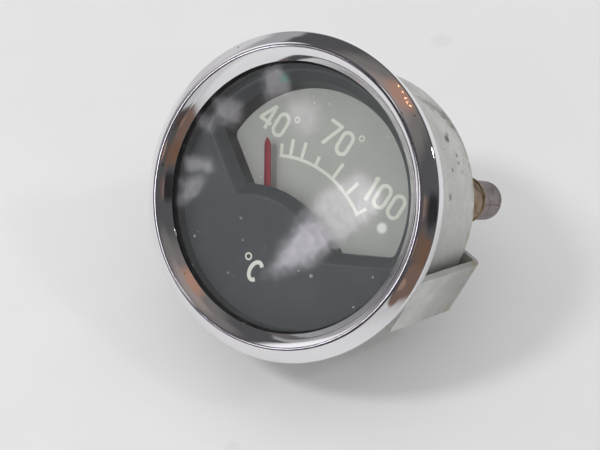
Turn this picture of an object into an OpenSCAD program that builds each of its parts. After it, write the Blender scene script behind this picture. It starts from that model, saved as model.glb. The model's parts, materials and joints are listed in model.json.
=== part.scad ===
// Panel-mounted electric temperature gauge for a vehicle dashboard.
// All sizes are in millimetres. The gauge's axis is Y: the dial faces -Y, its top is +Z,
// and +X is on the right as the driver sees it. The origin lies on the axis, in the plane
// where the back of the bezel seats on the front of the panel.

/* [Case] */
// Outside diameter of the case, which passes through the panel
case_d = 51.8; // [46:0.1:57]
// Depth of the case behind the panel's front
case_depth = 24.8; // [22.3:0.1:30]
// Sheet thickness of the case
case_wall = 0.6; // [0.5:0.05:0.8]
// Rounding of the case's rear edge
case_edge_r = 2; // [1:0.1:3]
// Width of the flange round the case's mouth
case_flange = 2.8; // [2.2:0.1:3.5]
// Rounding in the angle behind the flange
case_root_r = 0.6; // [0.3:0.05:0.6]

/* [Bezel] */
// Sheet thickness of the bezel
bezel_wall = 0.6; // [0.4:0.05:0.8]
// How far the bezel's front corner stands out beyond its seat on the panel
bezel_flare = 0.5; // [0.2:0.05:1.2]
// Depth of the side wall, from the front corner to the panel
bezel_side = 3.2; // [2.8:0.1:5]
// Width of the bezel's face, from its front corner to the window
bezel_face = 5.3; // [4.5:0.1:6.5]
// Distance of the crest, the foremost line, inside the front corner
bezel_crest_in = 2.6; // [2:0.1:3.2]
// How far the crest stands in front of the corner
bezel_crest_rise = 2.25; // [1.5:0.05:3]
// Rounding of the crest
bezel_crest_r = 0.9; // [0.7:0.1:1.2]
// Rounding of the outer corners
bezel_corner_r = 0.45; // [0.2:0.05:0.6]

/* [Glass and gasket] */
// Thickness of the glass
lens_t = 1.5; // [1:0.1:2.2]
// Thickness of the gasket behind the glass
gasket_t = 0.4; // [0.3:0.05:0.8]
// Radial thickness of the gasket's wall round the glass
gasket_rim = 0.45; // [0.3:0.05:0.6]
// Width of the ring that spaces the mask from the glass
spacer_w = 0.9; // [0.6:0.1:1.2]

/* [Dial] */
// Where the mask's face stands, as a part of the way from the case's mouth to the plate
mask_part = 0.29; // [0.25:0.01:0.34]
// Sheet thickness of the mask
mask_t = 0.7; // [0.5:0.1:1]
// Width of the mask's flat rim above the window
mask_rim = 1.5; // [1:0.1:3]
// Width of the chamfer round the mask's window
mask_chamfer_w = 2.1; // [1.5:0.1:2.6]
// Clearance in front of the pointer, where the chamfer ends
pointer_clear = 0.75; // [0.6:0.05:1.2]
// How far the window's round wall leans in, from the chamfer to the plate
window_lean = 1.2; // [0:0.1:2]
// Distance of the window's straight lower edges from the gauge's axis
window_wing_drop = 9.7; // [8.5:0.1:11]
// Slope of those edges
window_wing_angle = 31; // [26:1:36]
// Radius of the hill in the middle of the window's lower edge
hill_r = 18.8; // [16.5:0.1:21]
// Distance of the hill's centre below the spindle
hill_drop = 5.3; // [4:0.1:7]
// Rounding of the window's outer corners
window_corner_r = 1.6; // [0.8:0.1:3]
// Rounding of the valleys beside the hill
window_valley_r = 0.9; // [0.5:0.1:1.5]
// Thickness of the scale plate
plate_t = 0.6; // [0.4:0.1:1]

/* [Pointer arm] */
// Height of the spindle above the case's lower wall
pivot_height = 11; // [10:0.1:13]
// Rest angle, to the left of straight up
rest_angle = 34.3; // [30:0.1:38]
// Length of the pointer from its spindle to its tip
pointer_len = 23.2; // [20:0.1:25]
// Width of the pointer
pointer_w = 1.35; // [1:0.05:2]
// Height of the pointer's roof-shaped section
pointer_h = 0.55; // [0.3:0.05:0.7]
// Height of the pointer's underside over the scale plate
pointer_lift = 1.9; // [1.6:0.1:2.2]
// Length of the balance tail
tail_len = 6.6; // [5.8:0.1:7.5]
// Diameter of the spindle
spindle_d = 1.2; // [1:0.05:1.6]
// Diameter of the armature magnet
armature_d = 7.2; // [6:0.1:8]
// Thickness of the armature magnet
armature_t = 2.4; // [1.5:0.1:3]

/* [Movement] */
// Distance of the yoke from the inside of the case's back
yoke_stand = 4; // [3.6:0.1:6]
// Thickness of the yoke's sheet
yoke_t = 1.2; // [0.8:0.1:1.5]
// Thickness of the front bridge
bridge_t = 1; // [0.8:0.1:1.2]
// Diameter of a coil bobbin's rims
bobbin_d = 9.4; // [8.4:0.1:10]
// Length of a coil bobbin
bobbin_len = 11; // [9:0.5:12.5]
// Depth of a winding's face below the bobbin's rims
winding_in = 0.4; // [0.2:0.1:1]
// Diameter of an iron core
core_d = 3.4; // [2.6:0.1:4]
// Distance of a pillar from the middle of the movement
pillar_x = 14; // [12.5:0.1:15.5]
// Height of the pillars above the spindle
pillar_rise = 2.3; // [1:0.1:3]
// Diameter of a pillar
pillar_d = 3.6; // [3.2:0.1:4]

/* [Terminals] */
// Distance of a terminal from the middle of the case
terminal_x = 9.5; // [8.5:0.1:11]
// Distance of the terminals below the axis
terminal_drop = 13.5; // [12:0.1:15]
// Thread diameter of a terminal
terminal_d = 4; // [3.5:0.5:4.5]
// Distance a terminal stands out behind the case
terminal_len = 13; // [11:0.5:18]
// Diameter of the terminal insulators
insulator_d = 9; // [8:0.5:10]

/* [Bracket] */
// Clearance between the case and each leg of the bracket
bracket_side_gap = 1.25; // [0.8:0.05:4]
// Width of the bracket's strip
bracket_w = 11.3; // [9:0.1:13]
// Sheet thickness of the bracket
bracket_t = 1.25; // [1:0.05:1.5]
// Distance of the legs' free ends behind the bezel's seat
bracket_reach = 2.1; // [2.1:0.1:8]
// Outside radius of the bracket's bends
bracket_bend_r = 2; // [1.6:0.1:4]
// Lean of the loose bracket on its stud
bracket_lean = 8.6; // [0:0.1:9]
// Turn of the loose bracket round its stud
bracket_turn = 1.5; // [0:0.5:10]
// Thread diameter of the bracket stud
stud_d = 5; // [4:0.5:6]
// Distance the stud stands out behind the case
stud_len = 17; // [15:0.5:25]
// Diameter of the knurled nut
nut_d = 12; // [10:0.5:14]
// Thickness of the knurled nut
nut_t = 5; // [3:0.5:6]
// Number of grooves in the knurled nut
nut_grooves = 24; // [12:1:30]

/* [Lamp] */
// Distance of the lamp's axis from the inside of the case's wall
lamp_in = 6.3; // [6.3:0.1:8]
// Clearance between the lamp's socket and the bracket
lamp_gap = 0.4; // [0.3:0.1:4]
// Outside diameter of the lamp holder's sleeve
holder_d = 8; // [7:0.05:8]
// Sheet thickness of the sleeve
holder_wall = 0.45; // [0.3:0.05:0.5]
// Sheet thickness of the socket
socket_wall = 0.75; // [0.5:0.05:0.8]
// Distance the socket stands out behind the case
socket_len = 10.3; // [6:0.1:14]
// Distance the sleeve stands out of its socket
holder_out = 10.9; // [6:0.1:14]
// Width of the groove that the closed seam leaves along the sleeve
seam_w = 0.3; // [0.2:0.05:0.8]
// Length of the bulb's glass
bulb_len = 9; // [7:0.5:12]

/* [Hidden] */

$fn = 96;
slip = 0.05;      // running clearance on the radius
gap = 0.1;        // clearance between pieces that only stand side by side
sweep = 0.3;      // clearance to pieces that move past
over = 0.5;       // how far a cutter reaches past what it cuts

// the case's wall and mouth, and the stack between the bezel's crimped edge and its lip,
// counted forward from the panel
case_r = case_d / 2;
case_inner_r = case_r - case_wall;
case_inside = case_depth - case_wall;
flange_r = case_r + case_flange;
flange_front = -bezel_wall - case_wall;
glass_back = flange_front - gasket_t;
glass_front = glass_back - lens_t;

// the bezel closes round the flange with a little room
crimp_r = case_r + case_root_r + gap;
seat_r = flange_r + 2 * gap + bezel_wall;
bezel_r = seat_r + bezel_flare;
gasket_r = flange_r - slip;
lens_r = gasket_r - gasket_rim - gap;
spacer_r = case_inner_r - gap;

// the depths of the movement and the dial, counted forward from the case's back
yoke_back = case_inside - yoke_stand;
yoke_front = yoke_back - yoke_t;
coil_gap = 0.65;
coil_y = yoke_front - coil_gap - bobbin_d / 2;
bridge_back = coil_y - bobbin_d / 2 - coil_gap;
plate_back = bridge_back - bridge_t;
plate_depth = plate_back - plate_t;

// the dial: the mask stands on the plate, and its window keeps clear of the case
mask_depth = flange_front + mask_part * (plate_depth - flange_front);
mask_r = case_inner_r - 2 * gap;
window_r = mask_r - mask_rim - mask_chamfer_w;
chamfer_foot = plate_depth - pointer_lift - pointer_h - pointer_clear;
plate_r = case_inner_r - sweep;

// the movement
pivot_drop = case_inner_r - pivot_height;
pillar_drop = pivot_drop - pillar_rise;
pillar_pad = 1;
bobbin_tube = 0.6;
bobbin_rim_t = 0.8;
bobbin_start = bobbin_d / 2 + 0.7;
bobbin_end = bobbin_start + bobbin_len;
armature_gap = 0.7;
core_start = armature_d / 2 + armature_gap;
spigot_d = core_d - 1;
bearing_d = 3.2;
bearing_out = 0.8;
screw_head_d = 3.4;
screw_head_t = 0.6;
screw_d = 1.9;
screw_len = 3.6;
slot_w = 0.4;
slot_deep = 0.35;

// the arm
pointer_back = plate_depth - pointer_lift;
arm_t = 0.4;
hub_d = 4.4;
hub_nose_d = 2.6;
hub_nose = 1;
spindle_nose = 0.2;
spindle_front = pointer_back - hub_nose - spindle_nose;
tip_d = 0.6;
tip_len = 0.9;
pivot_screw_d = 3;
pivot_screw_out = 1;
tail_w = 1.2;
weight_d = 2.2;
stop_pin_d = 1;
stop_reach = tail_len - weight_d / 2 - stop_pin_d / 2;
stop_turn = rest_angle + asin((tail_w / 2 + stop_pin_d / 2 + sweep) / stop_reach);

head_t = 1.5;
head_d = 6.4;
bush_d = terminal_d + 2;
pad_t = 1.5;
insulator_out_t = 1.2;
terminal_washer_t = 0.5;
terminal_nut_t = 2.4;
terminal_nut_af = 7;
relief_w = 0.6;
relief_cut = 0.3;

// the bracket leans until its edge all but meets the case's back, and its front ends stay
// clear of a panel on the bezel's seat
bracket_rise = bracket_w / 2 * sin(bracket_lean);
bracket_half_t = bracket_t / 2 * cos(bracket_lean);
bracket_y = case_depth + sweep + bracket_rise + bracket_half_t;
bracket_leg = (bracket_y - bracket_rise - bracket_reach) / cos(bracket_lean);
bracket_span = case_d + 2 * (bracket_side_gap + bracket_t);
bracket_hole_d = stud_d + 1;
washer_d = 2 * stud_d;
washer_t = 1;
washer_y = bracket_y + bracket_half_t + washer_d / 2 * sin(bracket_lean) + gap;
spring_t = 1.2;
spring_slit = 0.8;
spring_y = washer_y + washer_t + slip;
nut_y = spring_y + spring_t + slip;
nut_chamfer = 0.6;
knurl_r = 0.45;
stud_end = case_depth + stud_len;
stud_chamfer = 0.6;
shoulder_d = stud_d + 2.5;
stud_spigot_d = stud_d - 1.4;

// the lamp stands beside the bracket, as near the case's wall as its socket may
socket_d = holder_d + 2 * (slip + socket_wall);
lamp_offset = case_inner_r - lamp_in;
lamp_z = bracket_w / 2 + lamp_gap + socket_d / 2;
lamp_x = sqrt(pow(lamp_offset, 2) - pow(lamp_z, 2));
socket_flange_d = socket_d + 2.4;
socket_flange_y = case_inside - 0.6;
socket_lip = 0.9;
socket_valley = 0.4 * socket_wall;
socket_end = case_depth + socket_len;
holder_end = socket_end + holder_out;
holder_start = case_depth;
holder_bore_d = holder_d - 2 * holder_wall;
seam_angle = 21;
seam_depth = 0.5 * holder_wall;
cap_d = holder_bore_d - 2 * slip;
cap_len = 8.5;
cap_button = 0.8;
cap_button_d = 4;
cap_y = holder_start + 1;
bulb_d = cap_d - 0.4;
contact_d = 2.2;
contact_neck_d = 1.6;
contact_y = cap_y + cap_len + gap;
contact_collar = 0.5;
contact_collar_d = 3.6;
contact_tail = 2;
disc_t = 2;
disc_y = contact_y + 2.4;

// Points of an arc round a centre, from one angle to another, less the first if skip is 1
function arc(c, r, a, b, n, skip = 0) =
    [for (i = [skip : n]) let (t = a + (b - a) * i / n) c + r * [cos(t), sin(t)]];

// The point at distance d from both lines of the corner at q, on its inner side
function inset(p, q, s, d) =
    let (u = (p - q) / norm(p - q), v = (s - q) / norm(s - q))
    q + (u + v) / norm(u + v) * d / sin(acos(u * v) / 2);

// The corner at q between p and s, rounded with radius r
function rounded(p, q, s, r, n = 6) =
    let (u = (p - q) / norm(p - q), v = (s - q) / norm(s - q),
         half = acos(u * v) / 2,
         m = (u + v) / norm(u + v),
         c = q + m * r / sin(half),
         a = q + u * r / tan(half) - c,
         b = q + v * r / tan(half) - c,
         a0 = atan2(a[1], a[0]),
         turn = atan2(a[0] * b[1] - a[1] * b[0], a * b))
    arc(c, r, a0, a0 + turn, n);

// A closed profile whose corners are each rounded with their own radius, 0 for sharp
function rounded_profile(pts, radii) =
    let (n = len(pts))
    [for (i = [0 : n - 1])
        each radii[i] > 0
            ? rounded(pts[(i + n - 1) % n], pts[i], pts[(i + 1) % n], radii[i])
            : [pts[i]]];

// Half of the window's outline, from the top centre clockwise to the hill's crest: the
// round edge, the outer corner, the straight wing, the valley, and the hill
function window_half(r, wing, hill) =
    let (n = [-sin(window_wing_angle), cos(window_wing_angle)],
         t = [cos(window_wing_angle), sin(window_wing_angle)],
         rc = window_corner_r,
         rv = window_valley_r,
         h = [0, -pivot_drop - hill_drop],
         corner = (rc - wing) * n + sqrt(pow(r - rc, 2) - pow(rc - wing, 2)) * t,
         q = (rv - wing) * n - h,
         s = -(q * t) + sqrt(pow(q * t, 2) - q * q + pow(hill + rv, 2)),
         valley = (rv - wing) * n + s * t,
         corner_angle = atan2(corner[1], corner[0]),
         line_angle = window_wing_angle - 90,
         hill_angle = atan2(h[1] - valley[1], h[0] - valley[0]))
    concat(arc([0, 0], r, 90, corner_angle, 40),
           arc(corner, rc, corner_angle, line_angle, 8, 1),
           arc(valley, rv, line_angle, hill_angle, 8),
           arc(h, hill, hill_angle + 180, 90, 18, 1));

// The whole outline, grown outwards on all sides by g
function window_outline(g, lean = 0) =
    let (half = window_half(window_r + g - lean, window_wing_drop + g, hill_r - g),
         n = len(half))
    concat(half, [for (i = [n - 2 : -1 : 1]) [-half[i][0], half[i][1]]]);

// A closed skin through outlines of equal count, each at its own depth
module skin(outlines, depths) {
    n = len(outlines[0]);
    m = len(outlines);
    points = [for (k = [0 : m - 1]) for (p = outlines[k]) [p[0], depths[k], p[1]]];
    sides = [for (k = [0 : m - 2]) for (i = [0 : n - 1])
        let (a = k * n + i, b = k * n + (i + 1) % n)
        each [[a, b + n, b], [a, a + n, b + n]]];
    front = [for (i = [0 : n - 1]) i];
    back = [for (i = [n - 1 : -1 : 0]) (m - 1) * n + i];
    polyhedron(points, concat(sides, [front, back]), convexity = 6);
}

// Something turned on the gauge's axis, from its profile of radius and depth
module turned(profile) {
    rotate([-90, 0, 0]) rotate_extrude($fn = 180) polygon(profile);
}

// A rod along the gauge's axis, between two depths
module rod(d, y0, y1) {
    translate([0, y0, 0]) rotate([-90, 0, 0]) cylinder(h = y1 - y0, d = d);
}

// A ring along the gauge's axis, between two depths
module ring(d_out, d_in, y0, y1) {
    difference() {
        rod(d_out, y0, y1);
        rod(d_in, y0 - over, y1 + over);
    }
}

// A flat sheet between two depths, from a shape drawn as seen from the front
module sheet(y0, y1) {
    translate([0, y1, 0]) rotate([90, 0, 0]) linear_extrude(y1 - y0) children();
}

module at_pivot() { translate([0, 0, -pivot_drop]) children(); }

module at_lamp() {
    translate([lamp_x, 0, lamp_z]) children();
}

module at_pillars() {
    for (side = [-1, 1]) translate([side * pillar_x, 0, -pillar_drop]) children();
}

module at_terminals() {
    for (side = [-1, 1]) translate([side * terminal_x, 0, -terminal_drop]) children();
}

// A coil's own frame: its axis is +Z, pointing away from the spindle
module at_coil(side) {
    at_pivot() rotate([0, side * 45, 0]) translate([0, coil_y, 0]) children();
}

module bezel() {
    crest_r = bezel_r - bezel_crest_in;
    lip_r = bezel_r - bezel_face;
    lip_y = glass_front - bezel_wall;
    outside = [[lip_r, lip_y], [crest_r, -bezel_side - bezel_crest_rise],
               [bezel_r, -bezel_side], [seat_r, 0], [crimp_r, 0]];
    inside = [[crimp_r, -bezel_wall],
              inset(outside[4], outside[3], outside[2], bezel_wall),
              inset(outside[3], outside[2], outside[1], bezel_wall),
              inset(outside[2], outside[1], outside[0], bezel_wall),
              [lip_r + bezel_wall / 2, glass_front], [lip_r, glass_front]];
    radii = [bezel_wall / 3, bezel_crest_r, bezel_corner_r, bezel_corner_r, 0,
             0, 0, 0, bezel_crest_r - bezel_wall, 0, 0];
    color("gainsboro") turned(rounded_profile(concat(outside, inside), radii));
}

module lens() {
    color([0.85, 0.9, 0.92, 0.3]) rod(2 * lens_r, glass_front, glass_back);
}

module lens_gasket() {
    color("dimgray") turned([[spacer_r - spacer_w, glass_back], [lens_r + gap, glass_back],
        [lens_r + gap, glass_front + gap], [gasket_r, glass_front + gap],
        [gasket_r, flange_front], [spacer_r - spacer_w, flange_front]]);
}

module spacer_ring() {
    color([0.2, 0.22, 0.23])
        ring(2 * spacer_r, 2 * (spacer_r - spacer_w), flange_front, mask_depth);
}

module case() {
    flange_back = flange_front + case_wall;
    profile = concat(
        [[case_inner_r, flange_front], [flange_r, flange_front], [flange_r, flange_back]],
        arc([case_r + case_root_r, flange_back + case_root_r], case_root_r, 270, 180, 5),
        arc([case_r - case_edge_r, case_depth - case_edge_r], case_edge_r, 0, 90, 8),
        [[0, case_depth], [0, case_inside]],
        arc([case_r - case_edge_r, case_depth - case_edge_r],
            case_edge_r - case_wall, 90, 0, 8));
    color([0.66, 0.67, 0.65]) difference() {
        turned(profile);
        rod(stud_d + 2 * gap, case_inside - over, case_depth + over);
        at_terminals() rod(bush_d + 2 * slip, case_inside - over, case_depth + over);
        at_lamp() rod(socket_d + 2 * slip, case_inside - over, case_depth + over);
    }
}

module dial_mask() {
    rate = mask_chamfer_w / (chamfer_foot - mask_depth);
    opening_x = hill_r * sin(34);
    color([0.31, 0.33, 0.35]) difference() {
        union() {
            rod(2 * mask_r, mask_depth, mask_depth + mask_t);
            skin([window_outline(mask_chamfer_w + mask_t), window_outline(mask_t),
                  window_outline(mask_t, window_lean)],
                 [mask_depth + mask_t / 2, chamfer_foot + mask_t / 2, plate_depth]);
        }
        skin([window_outline(mask_chamfer_w + over * rate), window_outline(0),
              window_outline(0, window_lean)],
             [mask_depth - over, chamfer_foot, plate_depth + over]);
        // the pointer swings through the gap that this leaves under the hill
        translate([-opening_x, chamfer_foot, -plate_r])
            cube([2 * opening_x, plate_depth, plate_r]);
    }
}

module scale_plate() {
    color([0.6, 0.61, 0.59]) difference() {
        rod(2 * plate_r, plate_depth, plate_back);
        at_pivot() rod(bearing_d + 1, plate_depth - over, plate_back + over);
        at_pillars() rod(screw_d + 2 * gap, plate_depth - over, plate_back + over);
        at_stops() rod(stop_pin_d, plate_depth - over, plate_back + over);
    }
}

module at_stops() {
    for (side = [-1, 1])
        at_pivot() rotate([0, side * stop_turn, 0]) translate([0, 0, -stop_reach]) children();
}

module stop_pins() {
    color("silver") at_stops() rod(stop_pin_d, pointer_back - hub_nose, plate_back);
}

module dial_screws() {
    color("gray") at_pillars() {
        difference() {
            rod(screw_head_d, plate_depth - screw_head_t, plate_depth);
            translate([-screw_head_d, plate_depth - screw_head_t - over, -slot_w / 2])
                cube([2 * screw_head_d, over + slot_deep, slot_w]);
        }
        rod(screw_d, plate_depth, plate_depth + screw_len);
    }
}

module front_bridge() {
    half_w = pillar_d / 2 + pillar_pad;
    bar = half_w - 0.8;
    rise = pivot_drop - pillar_drop;
    color("goldenrod") difference() {
        union() {
            at_pillars() rod(2 * half_w, plate_back, bridge_back);
            at_pivot() rod(2 * half_w, plate_back, bridge_back);
            at_pivot() sheet(plate_back, bridge_back)
                polygon([[-pillar_x, rise + bar], [0, bar], [pillar_x, rise + bar],
                         [pillar_x, rise - bar], [0, -bar], [-pillar_x, rise - bar]]);
        }
        at_pivot() rod(bearing_d, plate_back - over, bridge_back + over);
        at_pillars() rod(screw_d + 2 * gap, plate_back - over, bridge_back + over);
    }
}

module front_bearing() {
    color("tan") at_pivot()
        ring(bearing_d, spindle_d + 2 * slip, plate_back, bridge_back + bearing_out);
}

module pillars() {
    color("goldenrod") at_pillars() difference() {
        union() {
            rod(pillar_d, bridge_back, yoke_front);
            rod(spigot_d, yoke_front, yoke_back);
        }
        rod(screw_d, bridge_back - over, plate_depth + screw_len);
    }
}

// The yoke's outline follows the tabs' outer faces and reaches the pillars and the stud
function yoke_half() =
    let (far = bobbin_end + yoke_t,
         mid = [far * sin(45), far * cos(45) - pivot_drop],
         along = [cos(45), -sin(45)] * bobbin_d / 2,
         pad = pillar_d / 2 + pillar_pad)
    [[pad, pad + 1], mid - along, mid + along, [pillar_x + pad, pad / 2 - pillar_drop],
     [pillar_x + pad, -pillar_drop - pad], [pillar_x / 3, -pivot_drop - pad]];

module yoke() {
    half = yoke_half();
    n = len(half);
    tab_front = coil_y - bobbin_d / 2;
    color([0.55, 0.56, 0.58]) difference() {
        union() {
            sheet(yoke_front, yoke_back)
                polygon(concat(half, [for (i = [n - 1 : -1 : 0]) [-half[i][0], half[i][1]]]));
            for (side = [-1, 1]) at_pivot() rotate([0, side * 45, 0])
                translate([-bobbin_d / 2, tab_front, bobbin_end])
                    cube([bobbin_d, yoke_back - tab_front, yoke_t]);
        }
        for (side = [-1, 1]) at_coil(side)
            translate([0, 0, bobbin_end - over]) cylinder(h = yoke_t + 2 * over, d = spigot_d);
        at_pillars() rod(spigot_d, yoke_front - over, yoke_back + over);
        at_pivot() rod(pivot_screw_d, yoke_front - over, yoke_back + over);
        rod(stud_spigot_d, yoke_front - over, yoke_back + over);
    }
}

module pivot_screw() {
    color("goldenrod") at_pivot() difference() {
        rod(pivot_screw_d, yoke_front - pivot_screw_out, yoke_back + pivot_screw_out);
        rod(tip_d + 2 * slip, yoke_front - pivot_screw_out - over,
            yoke_front - pivot_screw_out + tip_len + gap);
        translate([-pivot_screw_d, yoke_back + pivot_screw_out - slot_deep, -slot_w / 2])
            cube([2 * pivot_screw_d, over + slot_deep, slot_w]);
    }
}

module bobbin() {
    difference() {
        union() {
            translate([0, 0, bobbin_start]) cylinder(h = bobbin_len, d = core_d + 2 * bobbin_tube);
            for (z = [bobbin_start, bobbin_end - bobbin_rim_t])
                translate([0, 0, z]) cylinder(h = bobbin_rim_t, d = bobbin_d);
        }
        translate([0, 0, bobbin_start - over])
            cylinder(h = bobbin_len + 2 * over, d = core_d);
    }
}

module winding() {
    difference() {
        translate([0, 0, bobbin_start + bobbin_rim_t])
            cylinder(h = bobbin_len - 2 * bobbin_rim_t, d = bobbin_d - 2 * winding_in);
        translate([0, 0, bobbin_start])
            cylinder(h = bobbin_len, d = core_d + 2 * bobbin_tube);
    }
}

module core() {
    translate([0, 0, core_start]) cylinder(h = bobbin_end - core_start, d = core_d);
    translate([0, 0, bobbin_end]) cylinder(h = yoke_t, d = spigot_d);
}

module coil_bobbin_left() { color("saddlebrown") at_coil(-1) bobbin(); }
module coil_bobbin_right() { color("saddlebrown") at_coil(1) bobbin(); }
module winding_left() { color("chocolate") at_coil(-1) winding(); }
module winding_right() { color("chocolate") at_coil(1) winding(); }
module core_left() { color("slategray") at_coil(-1) core(); }
module core_right() { color("slategray") at_coil(1) core(); }

// The swinging arm as it rests against the cold stop
module arm() { at_pivot() rotate([0, -rest_angle, 0]) children(); }

module spindle() {
    tip_y = yoke_front - pivot_screw_out;
    color("lightgray") arm() {
        rod(spindle_d, spindle_front, tip_y - gap);
        rod(tip_d, tip_y - gap, tip_y + tip_len - gap);
    }
}

module pointer_hub() {
    color([0.5, 0.14, 0.18]) arm() difference() {
        union() {
            rod(hub_d, pointer_back - arm_t, pointer_back);
            rod(hub_nose_d, pointer_back - hub_nose, pointer_back + hub_nose);
        }
        rod(spindle_d, spindle_front - over, pointer_back + hub_nose + over);
    }
}

module pointer() {
    root = hub_d / 2;
    tip = 1.1;
    w = pointer_w / 2;
    color([0.56, 0.15, 0.2]) arm() intersection() {
        sheet(pointer_back - pointer_h, pointer_back)
            polygon([[-w, root], [w, root], [w, pointer_len - tip], [0, pointer_len],
                     [-w, pointer_len - tip]]);
        linear_extrude(pointer_len)
            polygon([[-w, pointer_back], [w, pointer_back], [w, pointer_back - pointer_h / 3],
                     [0, pointer_back - pointer_h], [-w, pointer_back - pointer_h / 3]]);
    }
}

module balance_tail() {
    color([0.5, 0.14, 0.18]) arm() {
        translate([-tail_w / 2, pointer_back - arm_t, -tail_len])
            cube([tail_w, arm_t, tail_len - hub_d / 2]);
        translate([0, 0, -tail_len])
            rod(weight_d, pointer_back - 2 * arm_t, pointer_back + arm_t);
    }
}

module armature() {
    color("dimgray") arm()
        ring(armature_d, spindle_d, coil_y - armature_t / 2, coil_y + armature_t / 2);
}

module terminal_studs() {
    nut_end = case_depth + insulator_out_t + terminal_washer_t + terminal_nut_t;
    head_back = case_inside - pad_t;
    color("goldenrod") at_terminals() {
        rotate([0, 30, 0]) translate([0, head_back - head_t, 0]) rotate([-90, 0, 0])
            cylinder(h = head_t, d = head_d, $fn = 6);
        rod(terminal_d, head_back - head_t / 2, nut_end + 0.2);
        rod(terminal_d - 2 * relief_cut, nut_end + 0.2, nut_end + 0.2 + relief_w);
        rod(terminal_d, nut_end + 0.2 + relief_w, case_depth + terminal_len);
    }
}

module inner_insulators() {
    color("maroon") at_terminals() {
        ring(insulator_d, terminal_d, case_inside - pad_t, case_inside);
        ring(bush_d, terminal_d, case_inside, case_depth);
    }
}

module outer_insulators() {
    color("maroon") at_terminals()
        ring(insulator_d, terminal_d, case_depth, case_depth + insulator_out_t);
}

module terminal_washers() {
    y = case_depth + insulator_out_t;
    color("silver") at_terminals()
        ring(insulator_d - 1.4, terminal_d, y, y + terminal_washer_t);
}

module terminal_nuts() {
    y = case_depth + insulator_out_t + terminal_washer_t;
    color("goldenrod") at_terminals() difference() {
        translate([0, y, 0]) rotate([-90, 0, 0])
            cylinder(h = terminal_nut_t, d = terminal_nut_af / cos(30), $fn = 6);
        rod(terminal_d, y - over, y + terminal_nut_t + over);
    }
}

module bracket_stud() {
    color("silver") {
        rod(stud_spigot_d, yoke_front, yoke_back);
        rod(shoulder_d, yoke_back, case_inside);
        turned([[0, case_inside], [stud_d / 2, case_inside],
                [stud_d / 2, stud_end - stud_chamfer],
                [stud_d / 2 - stud_chamfer, stud_end], [0, stud_end]]);
    }
}

// A barrel with a valley round it, just in front of its rolled lip
module lamp_socket() {
    r = socket_d / 2;
    color("darkgoldenrod") at_lamp() difference() {
        union() {
            intersection() {
                rod(socket_flange_d, socket_flange_y, case_inside);
                translate([-lamp_x, 0, -lamp_z])
                    rod(2 * (case_r - case_edge_r), socket_flange_y, case_inside);
            }
            turned(rounded_profile([[0, case_inside], [r, case_inside],
                                    [r, socket_end - socket_lip - 1.5],
                                    [r - socket_valley, socket_end - socket_lip - 0.4],
                                    [r, socket_end - socket_lip], [r, socket_end], [0, socket_end]],
                                   [0, 0, 0.5, 0.3, 0.2, 0.35, 0]));
        }
        rod(socket_d - 2 * socket_wall, socket_flange_y - over, socket_end + over);
    }
}

// A sleeve rolled from sheet, its far edge turned in and its seam closed
module lamp_holder() {
    r = holder_d / 2;
    bore = holder_bore_d / 2;
    color([0.4, 0.34, 0.34]) at_lamp() difference() {
        turned(rounded_profile([[bore, holder_start], [r, holder_start], [r, holder_end],
                                [bore, holder_end]],
                               [0, 0, 0.85 * holder_wall, 0]));
        rotate([0, -seam_angle, 0])
            translate([r - seam_depth, holder_start - over, -seam_w / 2])
                cube([holder_d, holder_end - holder_start + 2 * over, seam_w]);
    }
}

module lamp_insulator() {
    color("sienna") at_lamp() ring(cap_d, contact_neck_d, disc_y, disc_y + disc_t);
}

module lamp_contact() {
    color("goldenrod") at_lamp() {
        rod(contact_d, contact_y, disc_y - contact_collar);
        rod(contact_collar_d, disc_y - contact_collar, disc_y);
        rod(contact_neck_d, disc_y, disc_y + disc_t);
        rod(contact_d, disc_y + disc_t, disc_y + disc_t + contact_tail);
    }
}

module bulb_cap() {
    color("gold") at_lamp() {
        rod(cap_d, cap_y, cap_y + cap_len - cap_button);
        rod(cap_button_d, cap_y + cap_len - cap_button, cap_y + cap_len);
    }
}

module bulb_glass() {
    r = bulb_d / 2;
    color([0.9, 0.92, 0.9, 0.5]) at_lamp() turned(concat(
        [[0, cap_y], [r, cap_y]], arc([0, cap_y - bulb_len + r], r, 0, -90, 10)));
}

// The loose bracket as it leans and turns on its stud
module on_stud() {
    rotate([0, bracket_turn, 0]) translate([0, bracket_y, 0]) rotate([bracket_lean, 0, 0])
        children();
}

module mounting_bracket() {
    half = bracket_span / 2;
    t = bracket_t;
    outer_r = bracket_bend_r;
    inner_r = outer_r - t;
    back = t / 2;
    profile = concat(
        [[half, -bracket_leg]],
        arc([half - outer_r, back - outer_r], outer_r, 0, 90, 10),
        arc([outer_r - half, back - outer_r], outer_r, 90, 180, 10),
        [[-half, -bracket_leg], [t - half, -bracket_leg]],
        arc([outer_r - half, back - outer_r], inner_r, 180, 90, 10),
        arc([half - outer_r, back - outer_r], inner_r, 90, 0, 10),
        [[half - t, -bracket_leg]]);
    color([0.63, 0.65, 0.61]) on_stud() difference() {
        translate([0, 0, -bracket_w / 2]) linear_extrude(bracket_w) polygon(profile);
        rod(bracket_hole_d, -t, t);
    }
}

module plain_washer() {
    color("silver") ring(washer_d, stud_d + 2 * gap, washer_y, washer_y + washer_t);
}

module spring_washer() {
    d = washer_d - 0.8;
    color("gray") difference() {
        ring(d, stud_d + 2 * gap, spring_y, spring_y + spring_t);
        rotate([0, 45, 0]) translate([0, spring_y - over, -spring_slit / 2])
            cube([d, spring_t + 2 * over, spring_slit]);
    }
}

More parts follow.
